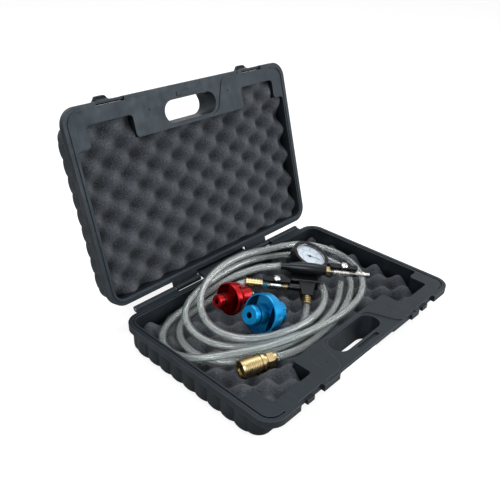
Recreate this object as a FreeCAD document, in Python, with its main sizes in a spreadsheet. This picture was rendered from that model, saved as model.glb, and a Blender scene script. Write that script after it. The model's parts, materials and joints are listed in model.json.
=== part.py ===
"""Radiator pressure tester kit: an open moulded case that holds a vacuum filler with its
gauge, two ball valves, three clear hoses, a quick coupler and two filler neck adapters.

Millimetres. Origin: below the middle of the rim, on the surface the case stands on. +X along
the hinge, +Y towards the hinge, +Z up. The lid stands open against its stop, as in use.
"""
import FreeCAD
import Part
import math
import os
import re
from types import SimpleNamespace

from FreeCAD import Placement, Rotation, Vector

doc = FreeCAD.newDocument("radiator_pressure_tester")
sheet = doc.addObject("Spreadsheet::Sheet", "sizes")

SIZES = {
    # case
    "case_length": 380.0, "case_width": 250.4, "base_depth": 40.0, "lid_depth": 38.0,
    "corner_radius": 22.0, "skin": 3.0, "rim_height": 9.0, "wall_inset": 5.0,
    "foot_radius": 8.0, "side_rim": 9.5, "back_rim": 8.5, "inner_radius": 12.0,
    "step_radius": 5.0, "parting_gap": 0.3, "play": 0.3, "running_play": 0.05,
    "groove_setback": 5.0, "groove_width": 2.5, "groove_depth": 1.6,
    "handle_block_length": 191.0, "handle_block_depth": 52.7,
    "latch_ledge_depth": 23.7, "corner_block_length": 28.5, "corner_block_depth": 50.7,
    "handle_hole_length": 90.0, "handle_hole_width": 29.0, "handle_bar_width": 18.2,
    "bar_relief": 1.3, "grip_left": 73.0, "grip_right": 84.0, "grip_recess": 3.0,
    "grip_bevel_right": 45.0, "grip_face": 5.5, "grip_bevel": 3.2,
    "rim_step": 1.2, "step_line_front": 94.0, "step_line_bend": 62.0, "step_line_back": 46.0,
    "step_line_setback": 4.6, "step_line_round": 13.0, "step_line_margin": 2.0,
    "slot_length": 42.0, "slot_width": 6.0, "slot_depth": 2.4, "slot_setback": 12.2,
    "vent_x": 69.0, "vent_setback": 23.0, "vent_radius": 0.9, "vent_depth": 2.5,
    # hinge and its stop
    "hinge_setback": 9.8, "hinge_drop": 2.4, "knuckle_radius": 4.2, "hinge_pin_radius": 2.0,
    "base_knuckle_length": 66.0, "lid_knuckle_length": 42.0, "knuckle_gap": 3.0,
    "hinge_start": 50.0, "lid_angle": 105.7, "stop_length": 92.0, "stop_thickness": 4.6,
    # latches
    "latch_setback": 68.0, "latch_width": 40.0, "latch_plate": 2.0, "latch_pin_radius": 1.1,
    "latch_barrel_radius": 2.3, "latch_pin_setback": 2.3, "latch_pin_rise": 4.7,
    "latch_reach": 20.5, "latch_lip": 3.2, "latch_angle": 165.0, "latch_pin_seat": 4.0,
    "strike_width": 12.0, "strike_top": 6.0, "strike_height": 6.2, "strike_depth": 2.7,
    # foam
    "base_foam_height": 4.0, "lid_foam_height": 6.0,
    # hoses
    "hose_radius": 5.0, "hose_bore_radius": 3.5,
    # tester
    "tester_x": 66.84, "tester_y": 36.14, "tester_z": 45.0,
    "tester_turn": 50.0, "tester_droop": 3.5, "tester_roll": 8.0,
    "barrel_length": 53.0, "barrel_left": 26.0, "barrel_radius": 9.0,
    "barrel_end_radius": 7.0, "barrel_bore_radius": 3.3,
    "jet_length": 12.0, "jet_bore_radius": 0.8,
    "sleeve_length": 11.0, "sleeve_radius": 5.3, "sleeve_waist": 0.4,
    "barb_length": 26.0, "barb_tooth": 3.0, "barb_step": 0.6, "barb_bore_radius": 2.0,
    "air_hex_flats": 11.5, "air_hex_length": 6.0, "shank_length": 7.0,
    "block_length": 40.0, "block_width": 26.5, "block_height": 16.0, "block_left": 22.0,
    "block_drop": 8.0, "block_front": 18.0, "block_round": 2.0, "channel_radius": 2.5,
    "stem_seat": 6.0, "riser_radius": 2.0,
    "neck_length": 28.0, "neck_height": 14.0, "neck_wide": 24.0, "neck_narrow": 14.0,
    "stem_line_x": 1.5, "stem_line_drop": 15.0,
    "ferrule_radius": 6.3, "ferrule_waist_radius": 5.4, "ferrule_length": 14.0,
    "ferrule_ring": 2.0, "ferrule_rings": 3, "fill_ferrule_length": 23.0,
    "fill_ferrule_rings": 5,
    # gauge
    "gauge_x": 3.0, "gauge_y": 37.6, "gauge_tilt": 17.0, "boot_radius": 28.0,
    "boot_depth": 27.0, "boot_back": 14.0, "boot_skin": 2.4, "boot_lip": 1.6,
    "gauge_case_radius": 24.3, "gauge_case_skin": 1.4, "dial_thickness": 0.8,
    "dial_level": 6.6, "lens_thickness": 1.6, "gauge_stem_radius": 4.0,
    "needle_length": 16.0, "needle_tail": 5.0, "needle_width": 1.2, "needle_thickness": 0.5,
    "needle_hub_radius": 2.0, "needle_hub_height": 1.4, "spindle_radius": 0.8,
    "spindle_length": 9.0, "bourdon_radius": 13.0, "bourdon_section": 2.0,
    "bourdon_sweep": 250.0, "movement_length": 16.0, "movement_width": 11.0,
    # ball valves
    "air_valve_x": 51.0, "air_inlet_length": 18.0, "air_outlet_length": 13.0,
    "fill_valve_x": 42.0, "fill_valve_y": 26.0, "fill_valve_drop": 14.5,
    "fill_inlet_length": 11.0, "fill_outlet_length": 12.0, "fill_end_length": 5.0,
    "fill_boss_radius": 5.0, "fill_collar_length": 7.0, "fill_collar_radius": 5.6,
    "valve_hex_flats": 10.5, "valve_hex_length": 4.5, "valve_body_radius": 6.0,
    "valve_bore_radius": 2.3, "ball_radius": 4.3, "gland_radius": 3.4, "gland_height": 7.8,
    "valve_stem_radius": 1.6, "lever_length": 39.0, "lever_width": 9.0,
    "lever_thickness": 3.2, "lever_boss_radius": 5.4, "lever_nut_radius": 5.3,
    "lever_nut_height": 4.6,
    # air plug
    "plug_hex_flats": 10.0, "plug_hex_length": 8.0, "plug_collar_length": 6.0,
    "plug_nose_length": 11.0, "plug_radius": 3.9, "plug_groove_radius": 2.9,
    "plug_bore_radius": 2.0,
    # coupler
    "coupler_x": -90.0, "coupler_y": -42.8, "coupler_z": 22.5, "coupler_turn": 162.3,
    "hose_nut_radius": 7.0, "hose_nut_length": 5.0, "coupler_hex_flats": 18.0,
    "coupler_hex_length": 8.0, "coupler_gap": 4.6, "coupler_barrel_radius": 8.4,
    "coupler_bore_radius": 5.6, "coupler_length": 47.0, "coupler_sleeve_radius": 12.0,
    "coupler_sleeve_step": 9.9, "coupler_port_radius": 2.6, "coupler_ball_radius": 1.3,
    "coupler_ball_count": 6, "coupler_ball_setback": 7.0, "socket_depth": 16.0, "poppet_radius": 4.6,
    "poppet_length": 9.0, "coupler_spring_wire": 0.6, "coupler_recess": 1.5,
    "coupler_spring_pitch": 2.0, "coupler_spring_turns": 5, "coupler_spring_setback": 5.7,
    "knurl_rings": 9, "knurl_depth": 0.5,
    # blue adapter
    "blue_x": -54.7, "blue_y": 15.6, "blue_z": 38.2, "blue_tilt": 22.0, "blue_turn": 178.8,
    "blue_cup_radius": 27.0, "blue_cup_depth": 14.0, "blue_cone_length": 10.0,
    "blue_grip_radius": 17.0, "blue_grip_length": 13.0, "blue_cup_skin": 2.4,
    "blue_cup_floor": 16.0, "blue_stem_radius": 13.0, "blue_stem_reach": 21.0,
    "blue_bore_radius": 4.2, "blue_web_width": 26.0, "blue_web_setback": 5.0,
    "blue_nipple_length": 14.0, "blue_notch_count": 6,
    # red adapter
    "red_x": -54.1, "red_y": 74.8, "red_z": 31.8, "red_tilt": 14.0, "red_turn": 177.3,
    "red_cup_radius": 22.5, "red_cup_depth": 7.0, "red_cone_length": 14.0,
    "red_grip_radius": 12.0, "red_grip_length": 17.0, "red_cup_skin": 2.2,
    "red_cup_floor": 15.0, "red_stem_radius": 9.0, "red_stem_reach": 20.0,
    "red_bore_radius": 3.8, "red_web_width": 14.0, "red_web_setback": 5.0,
    "red_nipple_length": 10.0, "red_notch_count": 6,
    "notch_width": 5.0, "notch_depth": 2.6, "nipple_radius": 4.0, "nipple_neck_radius": 3.1,
    "nipple_bore_radius": 1.5, "nipple_thread_length": 6.0, "seal_radius": 1.3, "seal_width": 0.8,
    "seal_setback": 9.0,
    "lip_cut": 0.8, "edge_cut": 1.0, "stem_cut": 1.2, "cup_foot_step": 3.0, "nipple_bead": 0.8,
}

for row, (word, number) in enumerate(SIZES.items(), start=1):
    sheet.set(f"A{row}", word)
    sheet.set(f"B{row}", str(number))
    sheet.setAlias(f"B{row}", word)
doc.recompute()
s = SimpleNamespace(**{word: sheet.get(word) for word in SIZES})

X, Y, Z = Vector(1, 0, 0), Vector(0, 1, 0), Vector(0, 0, 1)
HERE = Placement()
pieces = {}


# ---------------------------------------------------------------- building blocks

def bound(text):
    """The expression with each size's word pointed at the sheet."""
    return re.sub(r"[a-z_]+", lambda m: f"sizes.{m.group(0)}" if m.group(0) in SIZES else m.group(0), text)


def solid(kind, start="0", **measures):
    """A primitive that stands on +Z at start, with its measures bound to the sheet."""
    item = doc.addObject(f"Part::{kind}", kind)
    for name, text in measures.items():
        item.setExpression(name, bound(text))
    if start != "0":
        item.setExpression("Placement.Base.z", bound(start))
    return item


def rod(radius, length):
    return lambda start: (solid("Cylinder", start, Radius=radius, Height=length), length)


def taper(first, last, length):
    return lambda start: (solid("Cone", start, Radius1=first, Radius2=last, Height=length), length)


def hexagon(flats, length):
    def make(start):
        corner = f"({flats}) / {math.sqrt(3):.6f}"
        return solid("Prism", start, Polygon="6", Circumradius=corner, Height=length), length
    return make


def stack(*steps, start="0"):
    """A turned piece whose steps follow one another along +Z."""
    solids, at = [], start
    for step in steps:
        item, length = step(at)
        solids.append(item)
        at = f"{at} + {length}"
    return fuse(*solids)


def fuse(*items):
    if len(items) == 1:
        return group(*items)
    whole = doc.addObject("Part::MultiFuse", "Fuse")
    whole.Shapes = list(items)
    whole.Refine = True
    return whole


def cut(item, *tools):
    """The item less each tool."""
    for tool in tools:
        less = doc.addObject("Part::Cut", "Cut")
        less.Base, less.Tool, less.Refine = item, tool, True
        item = less
    return item


def moved(item, place):
    item.Placement = place
    return item


def feature(shape):
    """A piece whose shape is worked out with Part's own functions."""
    item = doc.addObject("Part::Feature", "Shape")
    item.Shape = shape
    return item


def group(*items):
    whole = doc.addObject("Part::Compound", "Group")
    whole.Links = list(items)
    return whole


def keep(name, item, place=HERE):
    """Files the finished piece under its name, at its place."""
    item.Label = name
    item.Placement = place
    pieces[name] = item
    return item


def at(x=0.0, y=0.0, z=0.0, along=Z):
    """A place whose own +Z runs along the given direction."""
    return Placement(Vector(x, y, z), Rotation(Z, along))


def box(low, high):
    return Part.makeBox(*(b - a for a, b in zip(low, high)), Vector(*low))


def outline(points, radii):
    """A closed flat wire through the points, each corner rounded by its radius."""
    edges, count = [], len(points)
    ends = []
    for i, corner in enumerate(points):
        before = (points[i - 1] - corner).normalize()
        after = (points[(i + 1) % count] - corner).normalize()
        half = before.getAngle(after) / 2
        back = radii[i] / math.tan(half)
        middle = corner + (before + after).normalize() * (radii[i] / math.sin(half) - radii[i])
        ends.append((corner + before * back, middle, corner + after * back))
    for i, (start, middle, end) in enumerate(ends):
        edges.append(Part.Arc(start, middle, end).toShape())
        edges.append(Part.LineSegment(end, ends[(i + 1) % count][0]).toShape())
    return Part.Wire(edges)


def slab(wire, bottom, top):
    face = Part.Face(wire)
    face.translate(Vector(0, 0, bottom))
    return face.extrude(Vector(0, 0, top - bottom))


def rectangle(half_x, half_y, radius):
    """A rounded rectangle about the origin."""
    points = [Vector(a * half_x, b * half_y) for a, b in ((-1, -1), (1, -1), (1, 1), (-1, 1))]
    return outline(points, [radius] * 4)


def side_profile(points, low_x, high_x):
    """A prism along X whose side view is the given (y, z) points."""
    face = Part.Face(Part.makePolygon([Vector(low_x, y, z) for y, z in points + points[:1]]))
    return face.extrude(Vector(high_x - low_x, 0, 0))


def x_rod(radius, low_x, high_x, y, z):
    return Part.makeCylinder(radius, high_x - low_x, Vector(low_x, y, z), X)


# ---------------------------------------------------------------- case

half_x, half_y = s.case_length / 2, s.case_width / 2
hinge_y = half_y + s.hinge_setback
wall_front = -half_y + s.handle_bar_width + s.bar_relief
latch_x = half_x - s.latch_setback
hinge_z = s.base_depth - s.hinge_drop
closed_height = s.base_depth + s.lid_depth
latch_y = -half_y + s.latch_pin_setback
latch_z = s.base_depth + s.latch_pin_rise
notch_half = s.latch_width / 2 + s.play + s.running_play
knuckles = [s.hinge_start, s.hinge_start + s.lid_knuckle_length,
            s.hinge_start + s.lid_knuckle_length + s.knuckle_gap,
            s.hinge_start + s.lid_knuckle_length + s.knuckle_gap + s.base_knuckle_length]

# everything on the lid is drawn closed and then swung open about the hinge
lid_open = Placement(Vector(), Rotation(X, -s.lid_angle), Vector(0, hinge_y, hinge_z))


def well_wire(play=0.0):
    """The inside outline of either half: latch ledges, handle block and corner blocks."""
    side, back = half_x - s.side_rim - play, half_y - s.back_rim - play
    block_x, block_y = s.handle_block_length / 2 + play, -half_y + s.handle_block_depth + play
    corner_x, corner_y = half_x - s.corner_block_length - play, -half_y + s.corner_block_depth + play
    ledge_y = -half_y + s.latch_ledge_depth + play
    right = [(block_x, block_y), (block_x, ledge_y), (corner_x, ledge_y), (corner_x, corner_y),
             (side, corner_y), (side, back)]
    points = [Vector(x, y) for x, y in right] + [Vector(-x, y) for x, y in reversed(right)]
    radii = [s.step_radius] * 5 + [s.inner_radius]
    return outline(points, radii + radii[::-1])


def tray(depth):
    """One half of the case, open upwards, from its floor at 0 to its rim at depth."""
    inset = s.wall_inset
    outside = rectangle(half_x - inset, (half_y - inset - wall_front) / 2, s.corner_radius - inset)
    outside.translate(Vector(0, (half_y - inset + wall_front) / 2, 0))
    wall = slab(outside, 0, depth)
    foot = [e for e in wall.Edges if e.BoundBox.ZMax < s.skin / 2]
    wall = wall.makeFillet(s.foot_radius, foot)
    rim = slab(rectangle(half_x, half_y, s.corner_radius), depth - s.rim_height, depth)
    well = slab(well_wire(), s.skin, depth)
    shell = wall.fuse(rim).cut(well).cut(handle_hole(depth)).cut(block_voids(depth))
    return shell.cut(handle_step(depth)).cut(vents(depth)).removeSplitter()


def handle_hole(depth):
    middle = -half_y + s.handle_bar_width + s.handle_hole_width / 2
    end = s.handle_hole_width / 2
    wire = rectangle(s.handle_hole_length / 2, end, end * 0.98)
    wire.translate(Vector(0, middle, 0))
    return slab(wire, -s.skin, depth + s.skin)


def handle_step(depth):
    """The lower face round the handle hole, bounded by a step line with two soft bends."""
    front, setback = -half_y + s.step_line_setback, -half_y + s.handle_bar_width + s.handle_hole_width
    left = [(-s.step_line_front, -half_y - s.skin), (-s.step_line_front, front), (-s.step_line_bend, front),
            (-s.step_line_back, setback + s.step_line_margin)]
    points = [Vector(x, y) for x, y in left] + [Vector(-x, y) for x, y in reversed(left)]
    radii = [s.rim_step, s.rim_step, s.step_line_round, s.step_line_round]
    return slab(outline(points, radii + radii[::-1]), depth - s.rim_step, depth + s.skin)


def slot(play):
    """The long slot in front of the base's handle hole, less play all round."""
    wire = rectangle(s.slot_length / 2 - play, s.slot_width / 2 - play, s.slot_width / 3 - play)
    wire.translate(Vector(0, -half_y + s.slot_setback, 0))
    return wire


def vents(depth):
    """A small vent beside the step line at either end of the handle block."""
    holes = [Part.makeCylinder(s.vent_radius, s.vent_depth, Vector(side * s.vent_x, -half_y + s.vent_setback,
                               depth - s.vent_depth)) for side in (-1, 1)]
    return Part.makeCompound(holes)


def block_voids(depth):
    """The blow moulding is hollow on either side of the hand hole."""
    low = (s.handle_hole_length / 2 + s.skin, wall_front + s.skin, 2 * s.skin)
    high = (s.handle_block_length / 2 - s.skin, -half_y + s.handle_block_depth - s.skin,
            depth - s.skin - s.groove_depth)
    right = box(low, high)
    return Part.makeCompound([right, right.mirror(Vector(), X)])


def grip():
    """What the fingers' grip takes off the base's front edge, bevelled underneath."""
    front, low = -half_y + s.grip_recess, s.base_depth - s.grip_face
    recess = box((-s.grip_left, -half_y - 1, 0), (s.grip_right, front, s.base_depth + 1))
    under = s.base_depth - s.rim_height - 1
    slant = (low - under) / (s.rim_height - s.grip_face) * s.grip_bevel
    bevel = side_profile([(front - 1, low), (front, low), (front + slant, under), (front - 1, under)],
                         -s.grip_left, s.grip_bevel_right)
    return recess.fuse(bevel)


def rim_ring(narrower):
    """The seal line round the rim, left out along the front between the corners."""
    back, width = s.groove_setback, s.groove_width
    out = back + narrower
    inn = back + width - narrower
    outer = slab(rectangle(half_x - out, half_y - out, s.corner_radius - out), 0, s.groove_depth - narrower)
    inner = slab(rectangle(half_x - inn, half_y - inn, s.corner_radius - inn), 0, s.groove_depth)
    front = box((-latch_x - s.latch_width, -half_y - 1, -1),
                (latch_x + s.latch_width, -half_y + 2 * s.groove_setback, s.groove_depth + 1))
    return outer.cut(inner).cut(front)


def front_notches(low, high):
    """Recesses in the front rim for the two latches."""
    notches = [box((side * latch_x - notch_half, -half_y - 1, low),
                   (side * latch_x + notch_half, -half_y + s.wall_inset, high)) for side in (-1, 1)]
    return Part.makeCompound(notches)


def hinge_arm(low_z, high_z, low_x, high_x):
    """A knuckle with the arm that carries it on the rim."""
    arm = box((low_x, half_y - s.skin / 2, low_z), (high_x, hinge_y, high_z))
    return arm.fuse(x_rod(s.knuckle_radius, low_x, high_x, hinge_y, hinge_z))


def hinge_side(shape, arms_z, span):
    """Adds a knuckle at each end of the back rim, bored for the pins."""
    bore = s.hinge_pin_radius + s.running_play
    for side in (-1, 1):
        low_x, high_x = sorted((side * span[0], side * span[1]))
        shape = shape.fuse(hinge_arm(*arms_z, low_x, high_x))
        shape = shape.cut(x_rod(bore, low_x - 1, high_x + 1, hinge_y, hinge_z))
    return shape


def lid_stop():
    """The shelf behind the base rim that the open lid leans on."""
    turn = math.radians(s.lid_angle)
    dy, dz = -s.hinge_setback, s.hinge_drop + s.parting_gap
    face = [(dy, dz), (dy, dz + s.rim_height)]
    open_face = [(hinge_y + a * math.cos(turn) + b * math.sin(turn),
                  hinge_z - a * math.sin(turn) + b * math.cos(turn)) for a, b in face]
    (near_y, near_z), (far_y, far_z) = open_face
    under = s.play / math.sin(turn)
    top = s.base_depth - s.play
    points = [(half_y - s.skin / 2, top), (half_y + s.skin, top), (far_y - s.play, far_z - under),
              (far_y - s.play, far_z - under - s.stop_thickness),
              (half_y + s.skin, top - s.stop_thickness), (half_y - s.skin / 2, top - s.stop_thickness)]
    return side_profile(points, -s.stop_length / 2, s.stop_length / 2)


def strikes():
    """The catch in each base notch that the latch's lip goes under."""
    top = s.base_depth - s.strike_top
    face_y = -half_y + s.wall_inset
    blocks = [box((side * latch_x - s.strike_width / 2, face_y - s.strike_depth, top - s.strike_height),
                  (side * latch_x + s.strike_width / 2, face_y + s.skin / 2, top)) for side in (-1, 1)]
    return Part.makeCompound(blocks)


def case_base():
    groove = rim_ring(0.0)
    groove.translate(Vector(0, 0, s.base_depth - s.groove_depth))
    floor = s.base_depth - s.rim_step
    shape = tray(s.base_depth).cut(groove).cut(slab(slot(0.0), floor - s.slot_depth, s.base_depth))
    shape = shape.cut(front_notches(s.base_depth - s.rim_height - 1, s.base_depth + 1)).fuse(strikes())
    shape = shape.cut(grip())
    shape = shape.fuse(lid_stop())
    arms_z = (hinge_z - s.knuckle_radius, s.base_depth - s.play)
    keep("case_base", feature(hinge_side(shape, arms_z, knuckles[2:]).removeSplitter()))


def case_lid():
    rim = s.lid_depth - s.parting_gap
    shape = tray(rim).fuse(slab(slot(s.play), rim - 2 * s.rim_step, rim))
    shape.rotate(Vector(), Y, 180)
    shape.translate(Vector(0, 0, closed_height))
    tongue = rim_ring(s.play)
    tongue.translate(Vector(0, 0, s.base_depth - s.groove_depth + s.parting_gap + s.play))
    shape = shape.fuse(tongue)
    low = s.base_depth - 1
    shape = shape.cut(front_notches(low, s.base_depth + s.rim_height + 1))
    for side in (-1, 1):
        reach = notch_half + s.latch_pin_seat
        bore = s.latch_pin_radius + s.running_play
        middle = side * latch_x
        shape = shape.cut(x_rod(bore, middle - reach, middle + reach, latch_y, latch_z))
    arm_low = s.base_depth + s.parting_gap
    shape = hinge_side(shape, (arm_low, arm_low + s.rim_height / 2), knuckles[:2])
    keep("case_lid", feature(shape.removeSplitter()), lid_open)


def hinge_pins():
    pins = []
    for side in (-1, 1):
        low_x, high_x = sorted((side * knuckles[0], side * knuckles[3]))
        pins.append(feature(x_rod(s.hinge_pin_radius, low_x, high_x, hinge_y, hinge_z)))
    keep("hinge_pins", group(*pins))


def latch_open():
    turned_out = Placement(Vector(), Rotation(X, -s.latch_angle), Vector(0, latch_y, latch_z))
    return lid_open.multiply(turned_out)


def latches():
    """A flat plate on a barrel, with a lip at its foot and a thumb rib."""
    outer_y = latch_y - s.latch_barrel_radius
    inner_y = outer_y + s.latch_plate
    foot_z = latch_z - s.latch_reach
    lip_y = -half_y + s.wall_inset - s.play
    lip_z = s.base_depth - s.strike_top - s.strike_height - 2 * s.play
    for name, side in (("left", -1), ("right", 1)):
        low_x = side * latch_x - s.latch_width / 2
        high_x = low_x + s.latch_width
        profile = [(outer_y, latch_z), (inner_y, latch_z), (inner_y, lip_z), (lip_y, lip_z),
                   (lip_y, foot_z), (outer_y, foot_z)]
        plate = side_profile(profile, low_x, high_x)
        lip_side = s.latch_width / 2 - s.strike_width / 2 - 2 * s.play
        barrel = x_rod(s.latch_barrel_radius, low_x, high_x, latch_y, latch_z)
        bore = x_rod(s.latch_pin_radius + s.running_play, low_x - 1, high_x + 1, latch_y, latch_z)
        rib = box((low_x + lip_side / 2, outer_y - s.latch_plate / 2, foot_z),
                  (high_x - lip_side / 2, outer_y + s.latch_plate / 4, foot_z + s.latch_plate))
        shape = plate.fuse(barrel).fuse(rib).cut(bore).removeSplitter()
        keep(f"latch_{name}", feature(shape), latch_open())
        reach = notch_half + s.latch_pin_seat - s.play
        middle = side * latch_x
        pin = x_rod(s.latch_pin_radius, middle - reach, middle + reach, latch_y, latch_z)
        keep(f"latch_pin_{name}", feature(pin), lid_open)


def foams():
    low = s.skin
    keep("base_foam", feature(slab(well_wire(s.play), low, low + s.base_foam_height)))
    top = closed_height - s.skin
    keep("lid_foam", feature(slab(well_wire(s.play), top - s.lid_foam_height, top)), lid_open)


# ---------------------------------------------------------------- tester

tester = Placement(Vector(s.tester_x, s.tester_y, s.tester_z),
                   Rotation(-s.tester_turn, s.tester_droop, s.tester_roll))
block_back = s.block_width - s.block_front


def on_tester(x=0.0, y=0.0, z=0.0, along=Z):
    return tester.multiply(at(x, y, z, along))


def barrel():
    """The venturi: a bellied black barrel with a jet at its air end and a barb at the other."""
    left, right = -s.barrel_left, s.barrel_length - s.barrel_left
    ends = [Vector(left, 0, 0), Vector(left, 0, s.barrel_end_radius), Vector(right, 0, s.barrel_end_radius),
            Vector(right, 0, 0)]
    belly = Part.Arc(ends[1], Vector((left + right) / 2, 0, s.barrel_radius), ends[2]).toShape()
    sides = [Part.LineSegment(ends[0], ends[1]).toShape(), belly, Part.LineSegment(ends[2], ends[3]).toShape(),
             Part.LineSegment(ends[3], ends[0]).toShape()]
    shape = Part.Face(Part.Wire(sides)).revolve(Vector(), X, 360)
    shape = shape.cut(x_rod(s.barrel_bore_radius, left - 1, right + 1, 0, 0))
    port = Part.makeCylinder(s.channel_radius, s.barrel_radius + 2, Vector(s.stem_line_x, 0, 0), -Z)
    keep("venturi_barrel", feature(shape.cut(port)), tester)

    fit = "(barrel_bore_radius - running_play)"
    jet = cut(stack(rod(fit, "jet_length")), stack(rod("jet_bore_radius", "jet_length")))
    keep("venturi_jet", jet, on_tester(right - s.shank_length - s.jet_length, along=X))
    tooth = taper(f"{fit} - barb_step", fit, "barb_tooth")
    barb = stack(tooth, tooth, rod(fit, "barb_length - 2 * barb_tooth"))
    barb = cut(barb, stack(rod("barb_bore_radius", "barb_length")))
    keep("hose_barb", barb, on_tester(left - s.sleeve_length - 2 * s.barb_tooth, along=X))
    body = stack(rod("sleeve_radius", "sleeve_length * 0.3"), rod("sleeve_radius - sleeve_waist", "sleeve_length * 0.4"),
                 rod("sleeve_radius", "sleeve_length * 0.3"))
    sleeve = cut(body, stack(rod("barrel_bore_radius", "sleeve_length")))
    keep("hose_crimp", sleeve, on_tester(left - s.sleeve_length, along=X))


def air_hex_adapter():
    fit = "(barrel_bore_radius - running_play)"
    item = stack(rod(fit, "shank_length"), hexagon("air_hex_flats", "air_hex_length"))
    right = s.barrel_length - s.barrel_left
    item = cut(item, stack(rod("valve_bore_radius", "shank_length + air_hex_length")))
    keep("air_hex_adapter", item, on_tester(right - s.shank_length, along=X))


def manifold():
    """The block under the barrel, with the wedge-shaped neck towards the hoses."""
    low = Vector(-s.block_left, -s.block_front, -s.block_drop - s.block_height)
    block = Part.makeBox(s.block_length, s.block_width, s.block_height, low)
    block = block.makeFillet(s.block_round, block.Edges)
    saddle = x_rod(s.barrel_radius, low.x - 1, low.x + s.block_length + 1, 0, 0)
    stem_hole = Part.makeCylinder(s.gauge_stem_radius + s.running_play, s.stem_seat,
                                  Vector(s.gauge_x, block_back, -s.stem_line_drop), -Y)
    run = s.block_width - s.stem_seat + s.channel_radius
    channel = Part.makeCylinder(s.channel_radius, run, Vector(s.stem_line_x, -s.block_front, -s.stem_line_drop), Y)
    riser = Part.makeCylinder(s.riser_radius, s.stem_line_drop, Vector(s.stem_line_x, 0, -s.stem_line_drop), Z)
    block = block.cut(saddle).cut(stem_hole).cut(channel).cut(riser).removeSplitter()
    keep("manifold_block", feature(block), tester)

    mid_z = -s.stem_line_drop
    wide, narrow = s.neck_wide / 2, s.neck_narrow / 2
    flat = [Vector(s.stem_line_x + x, y) for x, y in
            ((-wide, -s.block_front), (-narrow, -s.block_front - s.neck_length),
             (narrow, -s.block_front - s.neck_length), (wide, -s.block_front))]
    neck = slab(outline(flat, [1.0] * 4), mid_z - s.neck_height / 2, mid_z + s.neck_height / 2)
    boss_end = -(s.fill_valve_x - s.fill_inlet_length - s.fill_end_length)
    arm = x_rod(s.fill_boss_radius, boss_end, s.stem_line_x, -s.fill_valve_y, -s.fill_valve_drop)
    neck = neck.fuse(arm)
    bore = Part.makeCylinder(s.channel_radius, s.neck_length + 2,
                             Vector(s.stem_line_x, -s.block_front - s.neck_length - 1, mid_z), Y)
    side_bore = x_rod(s.valve_bore_radius, boss_end - 1, s.stem_line_x, -s.fill_valve_y, -s.fill_valve_drop)
    keep("manifold_neck", feature(neck.cut(bore).cut(side_bore).removeSplitter()), tester)


def ferrule(name, length, rings, place):
    """A crimped brass hose end with raised rings, waisted between them."""
    pitch = f"({length}) / ({rings} + 0.5)"
    steps = []
    for _ in range(int(round(sheet.get(rings)))):
        steps.append(rod("ferrule_radius", "ferrule_ring"))
        steps.append(rod("ferrule_waist_radius", f"{pitch} - ferrule_ring"))
    steps.append(rod("ferrule_radius", f"{pitch} * 0.5"))
    keep(name, cut(stack(*steps), stack(rod("channel_radius", length))), place)


def ball_valve(name, inlet, outlet, place):
    """A ball valve whose bore runs along its own X and whose lever lies above it on +Z."""
    flow = at(along=X)
    housing = f"{inlet} + {outlet} - 2 * valve_hex_length"
    body = stack(hexagon("valve_hex_flats", "valve_hex_length"), rod("valve_body_radius", housing),
                 hexagon("valve_hex_flats", "valve_hex_length"), start=f"-({inlet})")
    run = stack(rod("valve_bore_radius", f"{inlet} + {outlet} + 2"), start=f"-({inlet}) - 1")
    gland = stack(rod("gland_radius", "gland_height"))
    pocket = solid("Sphere", Radius="ball_radius + running_play")
    stem_hole = stack(rod("valve_stem_radius + running_play", "gland_height + 1"))
    body = cut(fuse(moved(body, flow), gland), moved(run, flow), pocket, stem_hole)
    keep(f"{name}_valve_body", body, place)

    ball = solid("Sphere", Radius="ball_radius")
    way = stack(rod("valve_bore_radius", "2 * ball_radius + 2"), start="-ball_radius - 1")
    keep(f"{name}_valve_ball", cut(ball, moved(way, flow)), place)

    top = "gland_height + play + lever_thickness"
    stem = stack(rod("valve_stem_radius", f"{top} + lever_nut_height * 0.5 - ball_radius"), start="ball_radius")
    keep(f"{name}_valve_stem", stem, place)
    keep(f"{name}_valve_lever", feature(lever_shape()), place)

    nut = stack(rod("lever_nut_radius", "lever_nut_height * 0.45"),
                taper("lever_nut_radius", "lever_nut_radius * 0.8", "lever_nut_height * 0.3"),
                taper("lever_nut_radius * 0.8", "lever_nut_radius * 0.35", "lever_nut_height * 0.25"), start=top)
    keep(f"{name}_lever_nut", cut(nut, stack(rod("valve_stem_radius", f"{top} + lever_nut_height * 0.5"))), place)


def lever_shape():
    """A butterfly handle: two thick wings on a thin bridge, round its boss."""
    low, high = s.gland_height + s.play, s.gland_height + s.play + s.lever_thickness
    wings = slab(rectangle(s.lever_length / 2, s.lever_width / 2, s.lever_width / 2 - 1), low, high)
    for side in (-1, 1):
        waist = Part.makeCylinder(s.lever_width * 0.55, s.lever_thickness, Vector(0, 0, 0))
        waist.translate(Vector(0, side * s.lever_width * 0.85, low))
        wings = wings.cut(waist)
    boss = Part.makeCylinder(s.lever_boss_radius, s.lever_thickness, Vector(0, 0, low))
    hole = Part.makeCylinder(s.valve_stem_radius, high, Vector())
    return wings.fuse(boss).cut(hole).removeSplitter()


def air_side():
    right = s.barrel_length - s.barrel_left
    ball_valve("air", "air_inlet_length", "air_outlet_length", on_tester(s.air_valve_x))
    plug = stack(hexagon("plug_hex_flats", "plug_hex_length"), rod("plug_radius", "plug_collar_length * 0.4"),
                 rod("plug_groove_radius", "plug_collar_length * 0.6"), rod("plug_radius", "plug_nose_length * 0.3"),
                 taper("plug_radius", "plug_groove_radius", "plug_nose_length * 0.2"),
                 rod("plug_groove_radius", "plug_nose_length * 0.5"))
    run = "plug_hex_length + plug_collar_length + plug_nose_length"
    start = s.air_valve_x + s.air_outlet_length
    keep("air_plug", cut(plug, stack(rod("plug_bore_radius", run))), on_tester(start, along=X))
    assert s.air_valve_x - s.air_inlet_length > right, "the air valve starts inside the barrel"


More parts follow.
